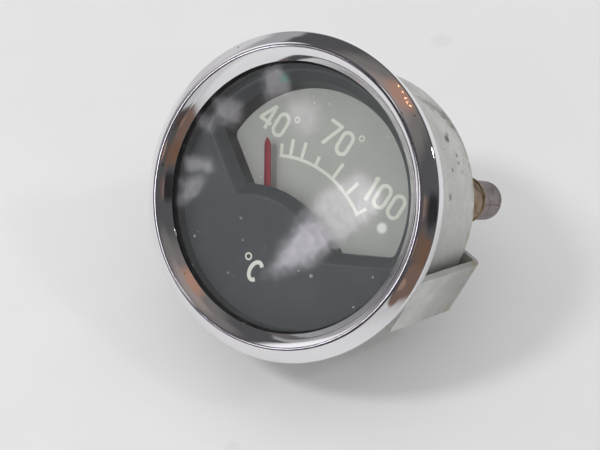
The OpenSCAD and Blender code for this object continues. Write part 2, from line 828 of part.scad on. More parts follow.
module knurled_nut() {
    chamfer = nut_chamfer;
    r = nut_d / 2;
    color("lightgray") difference() {
        turned([[stud_d / 2 + slip, nut_y], [r - chamfer, nut_y], [r, nut_y + chamfer],
                [r, nut_y + nut_t - chamfer], [r - chamfer, nut_y + nut_t],
                [stud_d / 2 + slip, nut_y + nut_t]]);
        for (i = [0 : nut_grooves - 1]) rotate([0, i * 360 / nut_grooves, 0])
            translate([r + knurl_r / 3, 0, 0])
                rod(2 * knurl_r, nut_y - over, nut_y + nut_t + over, $fn = 16);
    }
}

bezel();
lens();
lens_gasket();
spacer_ring();
case();
dial_mask();
scale_plate();
dial_screws();
stop_pins();
front_bridge();
front_bearing();
pillars();
yoke();
pivot_screw();
coil_bobbin_left();
coil_bobbin_right();
winding_left();
winding_right();
core_left();
core_right();
spindle();
pointer_hub();
pointer();
balance_tail();
armature();
terminal_studs();
inner_insulators();
outer_insulators();
terminal_washers();
terminal_nuts();
bracket_stud();
lamp_socket();
lamp_holder();
lamp_insulator();
lamp_contact();
bulb_cap();
bulb_glass();
mounting_bracket();
plain_washer();
spring_washer();
knurled_nut();
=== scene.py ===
# %% [markdown]
# # A round water temperature gauge
#
# This lesson dresses a finished solid model of an electric dashboard gauge. The solids come in
# as a fixed frame: a chromed bezel, glass, a sheet-metal mask over a scale plate, a crimson
# pointer, a zinc-plated can and, behind it, a clamping bracket, two terminals and a clip-in
# lamp. Here they get their finishes, the bezel is turned again as one smooth ring, the dial gets
# its printing, and the studs get their threads. Everything is in metres, with the dial facing
# -Y and its top towards +Z.

# %% Load the frame
import json
import math
import bpy
from mathutils import Matrix, Vector

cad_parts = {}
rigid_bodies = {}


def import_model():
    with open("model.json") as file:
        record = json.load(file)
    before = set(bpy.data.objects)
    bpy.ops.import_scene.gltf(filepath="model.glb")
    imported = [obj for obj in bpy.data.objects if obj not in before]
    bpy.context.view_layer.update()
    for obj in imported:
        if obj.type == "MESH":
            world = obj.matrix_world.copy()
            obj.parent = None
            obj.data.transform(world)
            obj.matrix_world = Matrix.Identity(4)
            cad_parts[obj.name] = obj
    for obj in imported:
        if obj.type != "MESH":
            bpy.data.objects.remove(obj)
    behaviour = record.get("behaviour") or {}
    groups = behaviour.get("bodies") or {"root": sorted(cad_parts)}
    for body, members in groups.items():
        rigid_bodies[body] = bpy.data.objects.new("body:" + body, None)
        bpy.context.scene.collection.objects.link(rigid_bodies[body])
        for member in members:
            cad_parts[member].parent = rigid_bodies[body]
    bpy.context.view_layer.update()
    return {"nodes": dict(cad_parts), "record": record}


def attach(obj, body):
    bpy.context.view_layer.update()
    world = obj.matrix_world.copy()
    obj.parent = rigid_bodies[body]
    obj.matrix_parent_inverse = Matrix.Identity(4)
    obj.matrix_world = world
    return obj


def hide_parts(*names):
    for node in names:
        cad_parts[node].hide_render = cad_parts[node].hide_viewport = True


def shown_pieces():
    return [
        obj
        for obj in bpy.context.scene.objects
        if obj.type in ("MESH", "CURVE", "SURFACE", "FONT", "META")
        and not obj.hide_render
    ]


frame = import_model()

MM = 0.001

# %% [markdown]
# ## The camera
#
# The gauge was photographed lying on a table, from above and a little to its right. A camera is
# easiest to place by its own three directions: its right, its up and the way that it looks.
# They make the columns of its rotation, with the last one reversed, because a Blender camera
# looks along its own -Z.

# %% Camera
CAMERA_AT = (0.10231, -0.22058, 0.06623)
LENS, SENSOR_WIDTH = 82.8, 36
CAMERA_RIGHT = Vector((0.7194, 0.4797, 0.5023))
CAMERA_UP = Vector((-0.5736, 0.0026, 0.8192))
CAMERA_LOOK = Vector((-0.3917, 0.8774, -0.2770))


def turn_to(right, up, back):
    """The rotation whose own X, Y and Z are these three directions."""
    return Matrix((right.normalized(), up.normalized(), back.normalized())).transposed().to_euler()


bpy.ops.object.camera_add(location=CAMERA_AT,
                          rotation=turn_to(CAMERA_RIGHT, CAMERA_UP, -CAMERA_LOOK))
camera = bpy.context.object
camera.data.lens = LENS
camera.data.sensor_width = SENSOR_WIDTH
camera.data.clip_start = 5 * MM
bpy.context.scene.camera = camera
print("camera distance:", round(camera.location.length, 3), "m")

# %% [markdown]
# ## Small helpers for nodes
#
# Every finish below is a tree of shader nodes. These helpers keep the trees short to write: one
# starts a material, one adds a node with its settings, and others do the sums with values, points
# and colours. A group is an effect that several finishes share, and it only hands out a mask. The
# shader itself always stays in the material.

# %% Node helpers
def new_material(name, colour, roughness, metallic=0.0, **sockets):
    """A material with its Principled shader set; returns the material's node tree and shader."""
    material = bpy.data.materials.new(name)
    material.use_nodes = True
    shader = material.node_tree.nodes["Principled BSDF"]
    shader.inputs["Base Color"].default_value = (*colour, 1)
    shader.inputs["Roughness"].default_value = roughness
    shader.inputs["Metallic"].default_value = metallic
    for key, value in sockets.items():
        shader.inputs[key.replace("_", " ")].default_value = value
    return material.node_tree, shader


def put(tree, kind, inputs=(), **settings):
    """Adds a node. inputs holds (socket, value or output socket) pairs."""
    node = tree.nodes.new(kind)
    for key, value in settings.items():
        setattr(node, key, value)
    for key, value in inputs:
        if isinstance(value, bpy.types.NodeSocket):
            tree.links.new(value, node.inputs[key])
        else:
            node.inputs[key].default_value = value
    return node


def feed(tree, shader, **values):
    """Links values to the shader's inputs of these names."""
    for key, value in values.items():
        tree.links.new(value, shader.inputs[key.replace("_", " ")])


def show(tree, surface):
    """Makes this the material's surface."""
    tree.links.new(surface, tree.nodes["Material Output"].inputs[0])


def maths(tree, operation, a, b=0.0):
    return put(tree, "ShaderNodeMath", [(0, a), (1, b)], operation=operation).outputs[0]


def plus(tree, a, b):
    return maths(tree, "ADD", a, b)


def minus(tree, a, b):
    return maths(tree, "SUBTRACT", a, b)


def times(tree, a, b):
    return maths(tree, "MULTIPLY", a, b)


def larger(tree, a, b):
    return maths(tree, "MAXIMUM", a, b)


def vectors(tree, operation, a, b=(0, 0, 0)):
    """A step with vectors; a length, a distance or a dot product comes out as a value."""
    node = put(tree, "ShaderNodeVectorMath", [(0, a), (1, b)], operation=operation)
    return node.outputs["Value" if operation in ("LENGTH", "DISTANCE", "DOT_PRODUCT") else "Vector"]


def axes(tree, point):
    """The three coordinates of a point."""
    return put(tree, "ShaderNodeSeparateXYZ", [(0, point)]).outputs[:3]


def stretched(tree, point, scale, turn=(0, 0, 0)):
    """The point, turned and then scaled along each axis."""
    return put(tree, "ShaderNodeMapping",
               [(0, point), ("Rotation", turn), ("Scale", scale)]).outputs[0]


def noise(tree, point, scale, detail, output="Fac"):
    return put(tree, "ShaderNodeTexNoise",
               [("Vector", point), ("Scale", scale), ("Detail", detail)]).outputs[output]


def mixed_shaders(tree, factor, a, b):
    return put(tree, "ShaderNodeMixShader", [(0, factor), (1, a), (2, b)]).outputs[0]


def darker(colour, share):
    return tuple(c * share for c in colour)


def blend(tree, factor, a, b):
    """A colour between a and b."""
    node = put(tree, "ShaderNodeMix", [(0, factor)], data_type="RGBA")
    for socket, value in ((node.inputs[6], a), (node.inputs[7], b)):
        if isinstance(value, bpy.types.NodeSocket):
            tree.links.new(value, socket)
        else:
            socket.default_value = (*value, 1)
    return node.outputs[2]


def spread(tree, value, low, high, to_low=0.0, to_high=1.0):
    """Stretches a value from low..high to to_low..to_high, with soft ends."""
    return put(tree, "ShaderNodeMapRange",
               [(0, value), (1, low), (2, high), (3, to_low), (4, to_high)],
               interpolation_type="SMOOTHSTEP").outputs[0]


def new_mask(name, **values):
    """An empty group that makes a mask from a point and some values. Returns the group, what it
    is given and the socket for its result."""
    group = bpy.data.node_groups.new(name, "ShaderNodeTree")
    group.interface.new_socket("Point", in_out="INPUT", socket_type="NodeSocketVector")
    for label, value in values.items():
        socket = group.interface.new_socket(label, in_out="INPUT", socket_type="NodeSocketFloat")
        socket.default_value = value
    group.interface.new_socket("Mask", in_out="OUTPUT", socket_type="NodeSocketFloat")
    result = group.nodes.new("NodeGroupOutput").inputs[0]
    return group, group.nodes.new("NodeGroupInput").outputs, result


def use(tree, group, **values):
    """Places a mask's group in a tree with its own values, and returns the mask."""
    return put(tree, "ShaderNodeGroup", values.items(), node_tree=group).outputs[0]


def place(tree):
    """The point on the piece, in metres."""
    return put(tree, "ShaderNodeTexCoord").outputs["Object"]


def bump(tree, shader, height, depth):
    """Raises the surface by height times depth metres."""
    node = put(tree, "ShaderNodeBump", [("Height", height), ("Distance", depth), ("Strength", 1.0)])
    feed(tree, shader, Normal=node.outputs[0])


# %% [markdown]
# ## Shared effects
#
# Old plated and painted metal never has one even colour. Three effects are used again and again:
# soft cloudy mottling, small dark specks of dirt or rust, and fine rubbing scratches that run in
# all directions. Each reads the point on the piece, so the pattern stays where it is when a part
# moves.

# %% Mottle, specks and scratches
mottle, given, result = new_mask("mottle", Size=0.004, Low=0.35, High=0.65)
size = maths(mottle, "DIVIDE", 1.0, given["Size"])
cloud = put(mottle, "ShaderNodeTexNoise",
            [("Vector", given["Point"]), ("Scale", size), ("Detail", 5.0), ("Roughness", 0.6),
             ("Distortion", 0.4)])
mottle.links.new(spread(mottle, cloud.outputs[0], given["Low"], given["High"]), result)

# Each cell of the pattern holds one speck or none, chosen and sized by the cell's random colour.
# The point is moved a little by a noise first, so that the specks aren't round.
RAGGEDNESS = 0.0006
specks, given, result = new_mask("specks", Size=0.001, Amount=0.3)
size = maths(specks, "DIVIDE", 1.0, given["Size"])
bent = noise(specks, given["Point"], 900.0, 2.0, "Color")
moved = put(specks, "ShaderNodeMix", [(0, RAGGEDNESS), (4, given["Point"]), (5, bent)],
            data_type="VECTOR", clamp_factor=False)
cells = put(specks, "ShaderNodeTexVoronoi", [("Vector", moved.outputs[1]), ("Scale", size)])
drawn = put(specks, "ShaderNodeSeparateColor", [(0, cells.outputs["Color"])]).outputs
chosen = maths(specks, "LESS_THAN", drawn[0], given["Amount"])
own_size = plus(specks, times(specks, maths(specks, "POWER", drawn[1], 3.0), 0.3), 0.08)
from_middle = maths(specks, "DIVIDE", cells.outputs["Distance"], own_size)
spot = spread(specks, from_middle, 0.5, 1.1, 1.0, 0.0)
specks.links.new(times(specks, spot, chosen), result)

scratches, given, result = new_mask("scratches", Size=0.004)
size = maths(scratches, "DIVIDE", 1.0, given["Size"])
lines = 0.0
for turn, fineness in (((0.3, 0.5, 0.2), (1, 14, 14)), ((1.2, 0.1, 0.9), (12, 1, 12)),
                       ((0.7, 1.4, 0.4), (13, 13, 1))):
    grain = noise(scratches, stretched(scratches, given["Point"], fineness, turn), size, 3.0)
    lines = larger(scratches, lines, spread(scratches, grain, 0.66, 0.74))
scratches.links.new(lines, result)
print("shared effects:", [group.name for group in bpy.data.node_groups])

# %% [markdown]
# ## Chromium plating
#
# Chrome is almost colourless and almost a mirror. What makes it look real is what it reflects,
# together with a faint haze of rubbing marks and a few pits, which show where a highlight
# crosses them.

# %% Chrome
CHROME, PIT = (0.83, 0.82, 0.83), (0.45, 0.4, 0.36)


def make_chrome():
    tree, shader = new_material("chromium plating", CHROME, 0.05, 1.0)
    point = place(tree)
    haze = use(tree, mottle, Point=point, Size=0.006, Low=0.4, High=0.75)
    rubbed = use(tree, scratches, Point=point, Size=0.006)
    pits = use(tree, specks, Point=point, Size=0.0009, Amount=0.02)
    feed(tree, shader, Base_Color=blend(tree, pits, CHROME, PIT))
    rough = plus(tree, times(tree, haze, 0.05), times(tree, rubbed, 0.08))
    feed(tree, shader, Roughness=plus(tree, rough, 0.04))


make_chrome()
print("chrome colour:", CHROME)

# %% [markdown]
# ## Dull zinc plating
#
# The can and the bracket are pressed from steel and zinc plated. Old zinc is a soft grey with a
# touch of green, cloudy, specked with dark rust points, and browned along its edges where the
# plating has worn. The browning is placed by the point's own distance along the can. A few dark
# stains are put where the can has them, each a ragged patch round its own centre.

# %% Zinc
GRIME, RUST, STAIN = (0.36, 0.3, 0.19), (0.12, 0.1, 0.075), (0.1, 0.095, 0.05)


def make_zinc(name, light, dark, edges, shade_run, stains=()):
    """Zinc plating. edges are the distances along Y, in mm, where the brown grime gathers. The next
    argument is (axis, from, to), in mm: along it the colour gets darker, as painted shade for the
    side that gets less light. stains are (centre, radius) in mm, with how dark each one is."""
    tree, shader = new_material(name, light, 0.45, 0.25)
    point = place(tree)
    along = axes(tree, point)
    clouds = use(tree, mottle, Point=point, Size=0.007, Low=0.3, High=0.7)
    fine = use(tree, mottle, Point=point, Size=0.0009, Low=0.4, High=0.66)
    grain = use(tree, mottle, Point=point, Size=0.0003, Low=0.52, High=0.7)
    # painted shade: the colour darkens along this run, towards the side that gets less light
    axis, start, end = shade_run
    painted_shade = spread(tree, along[axis], start * MM, end * MM, 0.0, 0.75)
    colour = blend(tree, clouds, dark, light)
    for mask, share in ((times(tree, fine, 0.3), 0.8), (times(tree, grain, 0.35), 0.6),
                        (painted_shade, 0.6)):
        colour = blend(tree, mask, colour, darker(dark, share))
    grime = 0.0
    for edge in edges:
        away = maths(tree, "ABSOLUTE", minus(tree, along[1], edge * MM))
        grime = larger(tree, grime, spread(tree, away, 0.0002, 0.0022, 1.0, 0.0))
    patchy = use(tree, mottle, Point=point, Size=0.0035, Low=0.42, High=0.62)
    grime = times(tree, grime, times(tree, patchy, 0.75))
    colour = blend(tree, grime, colour, GRIME)
    rust = use(tree, specks, Point=point, Size=0.003, Amount=0.11)
    colour = blend(tree, times(tree, rust, 0.75), colour, RUST)
    ragged = times(tree, noise(tree, point, 900.0, 3.0), 2.2)
    for centre, radius, deep in stains:
        away = vectors(tree, "DISTANCE", point, tuple(c * MM for c in centre))
        reach = plus(tree, maths(tree, "DIVIDE", away, radius * MM), ragged)
        colour = blend(tree, spread(tree, reach, 1.45, 2.15, deep, 0.0), colour, STAIN)
    feed(tree, shader, Base_Color=colour)
    rubbed = use(tree, scratches, Point=point, Size=0.008)
    rough = plus(tree, times(tree, clouds, -0.12), 0.52)
    rough = plus(tree, rough, times(tree, grime, 0.3))
    feed(tree, shader, Roughness=minus(tree, rough, times(tree, rubbed, 0.12)))
    bump(tree, shader, minus(tree, fine, rubbed), 0.000012)


STAINS = (((13.0, 15.7, 22.4), 1.15, 0.9), ((12.0, 16.9, 22.9), 0.6, 0.6),
          ((15.8, 17.6, 20.5), 0.5, 0.7), ((16.9, 17.4, 19.7), 0.5, 0.7),
          ((4.3, 16.0, 25.5), 1.6, 0.35), ((5.5, 18.2, 25.3), 2.0, 0.42),
          ((7.2, 20.2, 24.9), 2.3, 0.45), ((8.9, 21.8, 24.3), 2.4, 0.45),
          ((10.6, 22.8, 23.5), 2.0, 0.4))
GRIMY_EDGES = (0.6, 23.6)
# painted shade: the can gets darker towards its bottom and the bracket towards its back
make_zinc("zinc plating", (0.66, 0.67, 0.635), (0.54, 0.55, 0.52), GRIMY_EDGES, (2, 19, 3), STAINS)
make_zinc("bracket plating", (0.62, 0.63, 0.595), (0.5, 0.51, 0.48), GRIMY_EDGES, (1, 6, 24))
print("stains on the can:", len(STAINS))

# %% [markdown]
# ## Brass, steel and nickel
#
# The turned and stamped pieces share one recipe: a metal with a fine grain from its tool, a
# cloudy tarnish and a few specks. Only their colours, their roughness and the strength of the
# tarnish differ.

# %% Turned and stamped metals
TOOL_MARKS = 0.0006
STUD_R, TERMINAL_R, TERMINAL_X, TERMINAL_Z = 2.5, 2.0, 9.5, -13.5


def make_metal(name, bright, tarnish, roughness, amount, threads=()):
    """A tarnished metal. threads are (x, z, radius) in mm: their valleys get painted shade, from
    0.12 to 0.75 mm below the crest."""
    tree, shader = new_material(name, bright, roughness, 1.0)
    point = place(tree)
    clouds = use(tree, mottle, Point=point, Size=0.003, Low=0.35, High=0.68)
    colour = blend(tree, times(tree, clouds, amount), bright, tarnish)
    spots = use(tree, specks, Point=point, Size=0.0011, Amount=0.08)
    colour = blend(tree, times(tree, spots, 0.5), colour, darker(tarnish, 0.35))
    for x, z, radius in threads:
        offset = vectors(tree, "ADD", point, (-x * MM, 0, -z * MM))
        reach = vectors(tree, "LENGTH", vectors(tree, "MULTIPLY", offset, (1, 0, 1)))
        # painted shade in each thread's valleys
        valley = times(tree, spread(tree, reach, (radius - 0.42) * MM, (radius - 0.12) * MM, 1, 0),
                       spread(tree, reach, (radius - 0.75) * MM, (radius - 0.5) * MM))
        colour = blend(tree, times(tree, valley, 0.75), colour, darker(tarnish, 0.25))
    feed(tree, shader, Base_Color=colour)
    tooling = noise(tree, stretched(tree, point, (1, 9, 1)), 1 / TOOL_MARKS, 3.0)
    rough = plus(tree, times(tree, clouds, 0.14 * amount), roughness - 0.04)
    feed(tree, shader, Roughness=plus(tree, rough, times(tree, tooling, 0.08)))
    bump(tree, shader, tooling, 0.000006)


BRASS = ((0.66, 0.5, 0.24), (0.38, 0.25, 0.1), 0.3, 0.7)
NICKEL = ((0.68, 0.66, 0.6), (0.48, 0.44, 0.37), 0.33, 0.6)
make_metal("brass", *BRASS)
make_metal("cut brass", *BRASS, threads=((-TERMINAL_X, TERMINAL_Z, TERMINAL_R),
                                         (TERMINAL_X, TERMINAL_Z, TERMINAL_R)))
make_metal("dull nickel", *NICKEL)
make_metal("cut nickel", *NICKEL, threads=((0, 0, STUD_R),))
make_metal("darkened brass", (0.29, 0.25, 0.24), (0.19, 0.145, 0.145), 0.4, 0.8)
make_metal("stained brass", (0.36, 0.27, 0.19), (0.2, 0.13, 0.06), 0.42, 1.0)
make_metal("bright steel", (0.6, 0.6, 0.61), (0.42, 0.41, 0.4), 0.28, 0.4)
make_metal("soft iron", (0.42, 0.43, 0.45), (0.27, 0.26, 0.26), 0.45, 0.6)
make_metal("magnet alloy", (0.3, 0.3, 0.31), (0.2, 0.19, 0.19), 0.5, 0.5)
print("materials so far:", len(bpy.data.materials))

# %% [markdown]
# ## Paints
#
# The mask is slate grey, and the scale plate behind it a paler, slightly greenish grey. Both are
# satin, with the faint orange peel of a sprayed coat and a few specks of dust. The pointer is
# crimson, and the printing is a warm cream that the light has yellowed a little. The dot by the
# hundred is a thick drop of whiter ink that thins out to its rim.

# %% Paints
PLATE_GREY = (0.45, 0.438, 0.42)
PLATE_FACE, MASK_FACE, INK = 6.7, 1.091, 0.02
DOT_X, DOT_Z, DOT_R = 15.3, 3.9, 1.3
# Between which depths, in metres, the crease's painted highlight starts and ends and its opening's
# walls get painted shade.
CREASE_STARTS, CREASE_ENDS = (0.0011, 0.00116), (0.0012, 0.0017)
CHAMFER, WALL = (0.0012, 0.0024), (0.0034, 0.0036)
NOOK, NOOK_SIZE = (0.0112, 0.0025, -0.003), (0.001, 0.0032)


def make_paint(name, colour, second, roughness, peel=0.0007, dust=0.04, shaded=None):
    """A sprayed coat. shaded is a (from, to) pair along X, in mm: the walls of an opening get
    painted shade on that side and in a nook at its lower right, and the crease round it gets a
    faint painted highlight."""
    tree, shader = new_material(name, colour, roughness)
    shader.inputs["Specular IOR Level"].default_value = 0.4
    point = place(tree)
    clouds = use(tree, mottle, Point=point, Size=0.009, Low=0.3, High=0.7)
    mixed = blend(tree, clouds, colour, second)
    motes = use(tree, specks, Point=point, Size=0.0009, Amount=dust)
    pale = tuple(min(1, c * 1.9 + 0.02) for c in colour)
    mixed = blend(tree, times(tree, motes, 0.5), mixed, pale)
    if shaded:
        x, depth, _ = axes(tree, point)
        # a faint painted highlight along the crease, where its rounded edge would catch light
        crease = times(tree, spread(tree, depth, *CREASE_STARTS),
                       spread(tree, depth, *CREASE_ENDS, 1, 0))
        mixed = blend(tree, times(tree, crease, 0.35), mixed, (0.16, 0.17, 0.18))
        # painted shade on the opening's walls and in the nook, which face away from the light
        nook = vectors(tree, "DISTANCE", point, NOOK)
        side = larger(tree, spread(tree, x, shaded[0] * MM, shaded[1] * MM),
                      spread(tree, nook, *NOOK_SIZE, 0.9, 0.0))
        deep = plus(tree, times(tree, spread(tree, depth, *CHAMFER), 0.35),
                    times(tree, spread(tree, depth, *WALL), 0.6))
        mixed = blend(tree, times(tree, side, deep), mixed, (0.008, 0.0065, 0.006))
    feed(tree, shader, Base_Color=mixed)
    coat = noise(tree, point, 1 / peel, 2.0)
    feed(tree, shader, Roughness=plus(tree, times(tree, coat, 0.12), roughness - 0.06))
    bump(tree, shader, coat, 0.0000035)


# the mask gets painted shade in its opening and a painted highlight along its crease
make_paint("slate paint", (0.052, 0.057, 0.063), (0.043, 0.047, 0.053), 0.5, shaded=(-11.5, -14.5))
make_paint("plate paint", PLATE_GREY, (0.42, 0.408, 0.392), 0.55)
make_paint("crimson paint", (0.27, 0.02, 0.033), (0.22, 0.014, 0.026), 0.4)
make_paint("black paint", (0.03, 0.031, 0.033), (0.022, 0.022, 0.024), 0.45)
make_paint("cream ink", (0.8, 0.785, 0.715), (0.75, 0.735, 0.665), 0.6, peel=0.0003, dust=0.0)


def make_dot_ink(white, shade):
    tree, shader = new_material("white ink", white, 0.5)
    point = place(tree)
    middle = (DOT_X * MM, (PLATE_FACE - INK / 2) * MM, DOT_Z * MM)
    away = vectors(tree, "DISTANCE", point, middle)
    thin = spread(tree, away, 0.0006, DOT_R * MM)
    ink = blend(tree, use(tree, mottle, Point=point, Size=0.0008), white, shade)
    feed(tree, shader, Base_Color=blend(tree, thin, ink, PLATE_GREY))
    feed(tree, shader, Roughness=spread(tree, away, 0.0, DOT_R * MM, 0.4, 0.55))


make_dot_ink((0.93, 0.92, 0.88), (0.88, 0.87, 0.83))
print("materials so far:", len(bpy.data.materials))

# %% [markdown]
# ## Glass
#
# The cover is a flat polished disc. It is given a touch of blue-green, and its plain metallic
# and transmission values stay on the shader. Light paths through real glass are slow to clean
# up, so the rays that only carry light to the dial, shadow rays and diffuse ones, go straight
# through and lose a little to the glass's shade.

# %% Glass
def make_glass(name, tint, roughness, shade):
    tree, shader = new_material(name, tint, roughness, Transmission_Weight=1.0, IOR=1.5)
    point = place(tree)
    smears = use(tree, mottle, Point=point, Size=0.02, Low=0.5, High=0.85)
    feed(tree, shader, Roughness=plus(tree, times(tree, smears, 0.05), roughness))
    motes = use(tree, specks, Point=point, Size=0.0009, Amount=0.04)
    dust = put(tree, "ShaderNodeBsdfDiffuse", [(0, (0.75, 0.75, 0.75, 1))])
    dusty = mixed_shaders(tree, times(tree, motes, 0.3), shader.outputs[0], dust.outputs[0])
    clear = put(tree, "ShaderNodeBsdfTransparent", [(0, (*shade, 1))])
    path = put(tree, "ShaderNodeLightPath").outputs
    lighting = larger(tree, path["Is Shadow Ray"], path["Is Diffuse Ray"])
    show(tree, mixed_shaders(tree, lighting, dusty, clear.outputs[0]))


make_glass("clear glass", (0.97, 0.985, 0.98), 0.0, (0.93, 0.95, 0.94))
make_glass("bulb glass", (0.98, 0.98, 0.96), 0.02, (0.95, 0.95, 0.92))
print("glass: cover and bulb")

# %% [markdown]
# ## Rubber, mouldings, board and wire
#
# The rest hides inside or behind the can. The gasket is matt rubber with a bloom, the terminal
# bushes are brown phenolic moulding with fine flow marks, the lamp's disc is laminated board
# whose layers show on its edge, and the coils are enamelled copper wire, whose turns are drawn
# as fine ridges round each coil, with painted shade between the turns and a painted highlight
# along each.

# %% Insulating materials and wire
def make_moulding(name, colour, second, roughness, size, streak=(1, 1, 1)):
    tree, shader = new_material(name, colour, roughness)
    drawn = stretched(tree, place(tree), streak)
    flow = use(tree, mottle, Point=drawn, Size=size, Low=0.3, High=0.7)
    feed(tree, shader, Base_Color=blend(tree, flow, colour, second))
    feed(tree, shader, Roughness=plus(tree, times(tree, flow, 0.15), roughness - 0.07))
    bump(tree, shader, flow, 0.00001)


make_moulding("gasket rubber", (0.016, 0.016, 0.017), (0.035, 0.035, 0.036), 0.7, 0.0015)
make_moulding("brown phenolic", (0.085, 0.03, 0.014), (0.13, 0.05, 0.024), 0.35, 0.003)
make_moulding("fibre board", (0.23, 0.12, 0.055), (0.32, 0.18, 0.09), 0.6, 0.0012, (1, 6, 1))


WIRE, LEAN = 0.00022, 0.7071


def make_wire():
    """Copper wire, wound round axes that lean 45 degrees either way in the plane of the dial."""
    tree, shader = new_material("enamelled wire", (0.42, 0.13, 0.035), 0.32, 0.75)
    x, _, z = axes(tree, place(tree))
    along = plus(tree, times(tree, maths(tree, "ABSOLUTE", x), LEAN), times(tree, z, LEAN))
    wave = maths(tree, "SINE", times(tree, along, 2 * math.pi / WIRE))
    turns = plus(tree, times(tree, wave, 0.5), 0.5)
    # painted shade between the turns and a painted highlight on their tops
    feed(tree, shader, Base_Color=blend(tree, turns, (0.2, 0.05, 0.016), (0.48, 0.16, 0.045)))
    bump(tree, shader, turns, 0.00005)


make_wire()
print("materials so far:", len(bpy.data.materials))

# %% [markdown]
# ## Giving the parts their finishes
#
# Each solid names a slot in the model's record, and each slot gets one finish. The solids' own
# material slots are filled, and their shapes stay as they are.

# %% Assign finishes
FINISH = {"chrome": "chromium plating", "zinc": "zinc plating", "clear_glass": "clear glass",
          "gasket_rubber": "gasket rubber", "dark_paint": "black paint",
          "mask_paint": "slate paint", "plate_paint": "plate paint",
          "pointer_paint": "crimson paint", "steel": "bright steel", "dark_steel": "soft iron",
          "brass": "brass", "phenolic": "brown phenolic", "copper_wire": "enamelled wire",
          "magnet": "magnet alloy", "bronzed_brass": "darkened brass", "fibre": "fibre board",
          "bulb_glass": "bulb glass", "nickel": "dull nickel"}
OWN_FINISH = {"lamp_socket": "stained brass", "mounting_bracket": "bracket plating"}

for part in frame["record"]["subparts"]:
    node = frame["nodes"][part["node"]]
    finish = bpy.data.materials[OWN_FINISH.get(part["node"], FINISH[part["material_slot"]])]
    for mesh in [node] + list(node.children):
        if mesh.type == "MESH":
            mesh.data.materials.clear()
            mesh.data.materials.append(finish)

# %% [markdown]
# ## The bezel
#
# The bezel is a spun ring of thin brass, polished and plated. A mirror shows every facet, so the
# ring is turned here as one smooth surface: half a section is drawn as a chain of points, with
# every corner rounded, and the spin operator carries it round the gauge's axis. The flanks are
# slightly crowned, as spinning and polishing leave them.

# %% Section of the ring
def rounded_chain(corners, steps=7):
    """The points of a closed chain whose corners (x, y, radius) are rounded."""
    points = []
    for i, (x, y, r) in enumerate(corners):
        here = Vector((x, y))
        before = (Vector(corners[i - 1][:2]) - here).normalized()
        after = (Vector(corners[(i + 1) % len(corners)][:2]) - here).normalized()
        if r == 0:
            points.append(here)
            continue
        half = before.angle(after) / 2
        centre = here + (before + after).normalized() * (r / math.sin(half))
        start, end = (here + v * (r / math.tan(half)) - centre for v in (before, after))
        swing = start.angle_signed(end)
        for k in range(steps + 1):
            t = -swing * k / steps
            points.append(centre + Vector((start.x * math.cos(t) - start.y * math.sin(t),
                                           start.x * math.sin(t) + start.y * math.cos(t))))
    return points


# (radius, distance behind the panel's front, rounding), all in mm, from the lip round the outside
RING = [(24.7, -3.2, 0.06), (25.9, -4.5, 4.0), (27.36, -5.5, 1.0), (28.85, -4.26, 5.0),
        (30.0, -3.2, 0.55), (29.5, 0.0, 0.5), (26.55, 0.0, 0.0), (26.55, -0.55, 0.0),
        (28.9, -0.6, 0.2), (29.3, -3.0, 0.2), (27.4, -4.7, 0.5), (25.5, -3.14, 0.1),
        (24.7, -3.14, 0.02)]
section = rounded_chain(RING)
print("section points:", len(section))

# %% [markdown]
# The chain becomes a mesh of edges in the plane through the axis. In edit mode the spin operator
# sweeps it through a full turn, the seam is merged, and the normals are made to point outwards.

# %% Spin the ring
SAME_POINT = 0.000001
RING_STEPS = 240


def only(thing):
    """Selects this object and nothing else."""
    bpy.ops.object.select_all(action="DESELECT")
    thing.select_set(True)
    bpy.context.view_layer.objects.active = thing


def added(name, data):
    """A new object with this data, selected alone."""
    thing = bpy.data.objects.new(name, data)
    bpy.context.collection.objects.link(thing)
    only(thing)
    return thing


def chain_piece(name, points, closed=False):
    """A chain of edges through (radius, depth) points, in mm, in the plane through the axis."""
    mesh = bpy.data.meshes.new(name)
    edges = [(i, i + 1) for i in range(len(points) - 1)]
    if closed:
        edges.append((len(points) - 1, 0))
    mesh.from_pydata([(r * MM, y * MM, 0) for r, y in points], edges, [])
    return added(name, mesh)


def on_all(operation, **settings):
    """Runs one operation of edit mode on all of the active mesh."""
    bpy.ops.object.mode_set(mode="EDIT")
    bpy.ops.mesh.select_all(action="SELECT")
    operation(**settings)
    bpy.ops.object.mode_set(mode="OBJECT")


def spun(name, points, steps, closed=False):
    """Turns a chain of points round an axis along Y."""
    piece = chain_piece(name, points, closed)
    on_all(bpy.ops.mesh.spin, steps=steps, angle=2 * math.pi, center=(0, 0, 0), axis=(0, 1, 0))
    on_all(bpy.ops.mesh.remove_doubles, threshold=SAME_POINT)
    on_all(bpy.ops.mesh.normals_make_consistent, inside=False)
    bpy.ops.object.shade_smooth_by_angle(angle=math.radians(35))
    return piece


def finish_piece(piece, material, body):
    piece.data.materials.clear()
    piece.data.materials.append(bpy.data.materials[material])
    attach(piece, body)
    print(piece.name, "faces:", len(piece.data.polygons))


ring = spun("bezel_ring", section, RING_STEPS, closed=True)
finish_piece(ring, "chromium plating", "gauge")
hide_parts("bezel")

# %% [markdown]
# ## The threads
#
# The bracket's stud and the two terminals are screw-cut rods. A thread is one tooth carried round
# the rod and along it at the same time. So the outline of a single tooth, as long as the pitch, is
# swept by the screw modifier, and the seams between the turns are merged. The ends are cut off
# square, and crossing the rod with a turned blank gives its far end the chamfer that lets a nut
# start. The plain parts of each stud are turned and joined on.

# %% A threaded rod
THREAD_STEPS, TURNED_STEPS = 32, 48
SPARE_TURNS = 3
TOOTH_HEIGHT, CREST_START, CREST_END = 0.6, 0.42, 0.58  # in pitches


